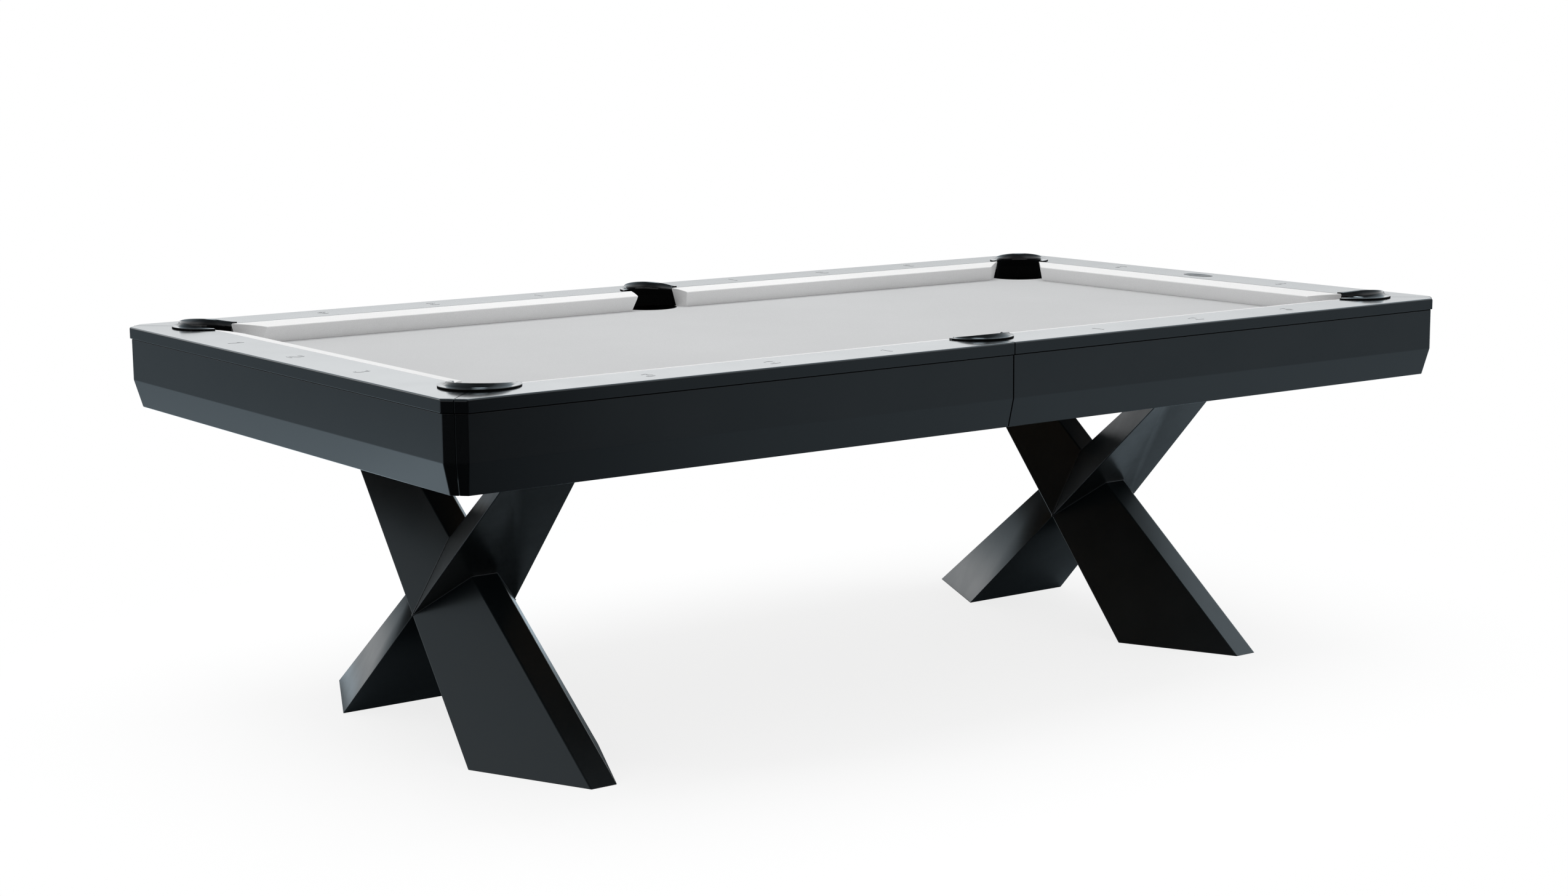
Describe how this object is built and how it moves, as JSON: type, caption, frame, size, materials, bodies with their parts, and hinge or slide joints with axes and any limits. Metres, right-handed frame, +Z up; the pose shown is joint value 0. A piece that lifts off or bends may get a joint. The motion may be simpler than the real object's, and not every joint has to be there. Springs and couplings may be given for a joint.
{
  "type": "pool table",
  "caption": "Pool table with a flat cloth-covered slate bed, bevelled rails and aprons, rolled pocket irons and two crossed-bar steel pedestals.",
  "frame": {"origin": "on the floor under the middle of the table", "axes": "+X along the table to the end with the bare plate, +Y across it to the rear long side, +Z up"},
  "size_m": [2.572, 1.454, 0.825],
  "materials": {
    "bed_cloth": "napped wool cloth",
    "cushion_cloth": "napped wool cloth over rubber",
    "slate": "honed",
    "board": "raw board",
    "rail_lacquer": "satin lacquer",
    "apron_lacquer": "satin lacquer",
    "pocket_iron": "gloss",
    "pocket_rubber": "matte",
    "frame_timber": "planed",
    "leg_coat": "fine satin powder coat",
    "steel": "zinc plated",
    "pad_rubber": "matte",
    "numeral_inlay": "matte",
    "blank_plate": "gloss"
  },
  "bodies": {
    "table": {"bed_cloth": "bed_cloth", "slate_left": "slate", "slate_middle": "slate", "slate_right": "slate", "slate_liner_left": "board", "slate_liner_right": "board", "rail_end_left": "rail_lacquer", "rail_end_right": "rail_lacquer", "rail_front_left": "rail_lacquer", "rail_front_right": "rail_lacquer", "rail_rear_left": "rail_lacquer", "rail_rear_right": "rail_lacquer", "cushion_end_left": "cushion_cloth", "cushion_end_right": "cushion_cloth", "cushion_front_left": "cushion_cloth", "cushion_front_right": "cushion_cloth", "cushion_rear_left": "cushion_cloth", "cushion_rear_right": "cushion_cloth", "apron_end_left": "apron_lacquer", "apron_end_right": "apron_lacquer", "apron_front_left": "apron_lacquer", "apron_front_right": "apron_lacquer", "apron_rear_left": "apron_lacquer", "apron_rear_right": "apron_lacquer", "pocket_iron_front_left": "pocket_iron", "pocket_iron_front_middle": "pocket_iron", "pocket_iron_front_right": "pocket_iron", "pocket_iron_rear_left": "pocket_iron", "pocket_iron_rear_middle": "pocket_iron", "pocket_iron_rear_right": "pocket_iron", "pocket_bucket_front_left": "pocket_rubber", "pocket_bucket_front_middle": "pocket_rubber", "pocket_bucket_front_right": "pocket_rubber", "pocket_bucket_rear_left": "pocket_rubber", "pocket_bucket_rear_middle": "pocket_rubber", "pocket_bucket_rear_right": "pocket_rubber", "frame_side_beams": "frame_timber", "frame_end_beams": "frame_timber", "frame_cross_members": "frame_timber", "pedestal_left_long_bar": "leg_coat", "pedestal_left_cut_bar": "leg_coat", "pedestal_right_long_bar": "leg_coat", "pedestal_right_cut_bar": "leg_coat", "top_plate_left": "leg_coat", "top_plate_right": "leg_coat", "foot_plates": "steel", "rail_bolts": "steel", "slate_screws": "steel", "pedestal_bolts": "steel", "apron_brackets": "steel", "rail_numerals": "numeral_inlay", "blank_plate": "blank_plate"},
    "pad_front_left": {"leveller_pad_front_left": "pad_rubber"},
    "stud_front_left": {"leveller_stud_front_left": "steel"},
    "pad_rear_left": {"leveller_pad_rear_left": "pad_rubber"},
    "stud_rear_left": {"leveller_stud_rear_left": "steel"},
    "pad_front_right": {"leveller_pad_front_right": "pad_rubber"},
    "stud_front_right": {"leveller_stud_front_right": "steel"},
    "pad_rear_right": {"leveller_pad_rear_right": "pad_rubber"},
    "stud_rear_right": {"leveller_stud_rear_right": "steel"}
  },
  "joints": [
    {"name": "level_front_left", "type": "slide", "parent": "table", "child": "pad_front_left", "axis": [0, 0, 1], "range_m": [-0.015, 0.002]},
    {"name": "turn_front_left", "type": "hinge", "parent": "pad_front_left", "child": "stud_front_left", "pos_m": [-0.869, -0.403, 0], "axis": [0, 0, 1], "range_deg": [-3090, 412]},
    {"name": "level_rear_left", "type": "slide", "parent": "table", "child": "pad_rear_left", "axis": [0, 0, 1], "range_m": [-0.015, 0.002]},
    {"name": "turn_rear_left", "type": "hinge", "parent": "pad_rear_left", "child": "stud_rear_left", "pos_m": [-0.869, 0.403, 0], "axis": [0, 0, 1], "range_deg": [-3090, 412]},
    {"name": "level_front_right", "type": "slide", "parent": "table", "child": "pad_front_right", "axis": [0, 0, 1], "range_m": [-0.015, 0.002]},
    {"name": "turn_front_right", "type": "hinge", "parent": "pad_front_right", "child": "stud_front_right", "pos_m": [0.869, -0.403, 0], "axis": [0, 0, 1], "range_deg": [-3090, 412]},
    {"name": "level_rear_right", "type": "slide", "parent": "table", "child": "pad_rear_right", "axis": [0, 0, 1], "range_m": [-0.015, 0.002]},
    {"name": "turn_rear_right", "type": "hinge", "parent": "pad_rear_right", "child": "stud_rear_right", "pos_m": [0.869, 0.403, 0], "axis": [0, 0, 1], "range_deg": [-3090, 412]}
  ],
  "couplings": [
    {"joint": "turn_front_left", "follows": "level_front_left", "rad_per_m": 3590.4},
    {"joint": "turn_rear_left", "follows": "level_rear_left", "rad_per_m": 3590.4},
    {"joint": "turn_front_right", "follows": "level_front_right", "rad_per_m": 3590.4},
    {"joint": "turn_rear_right", "follows": "level_rear_right", "rad_per_m": 3590.4}
  ]
}
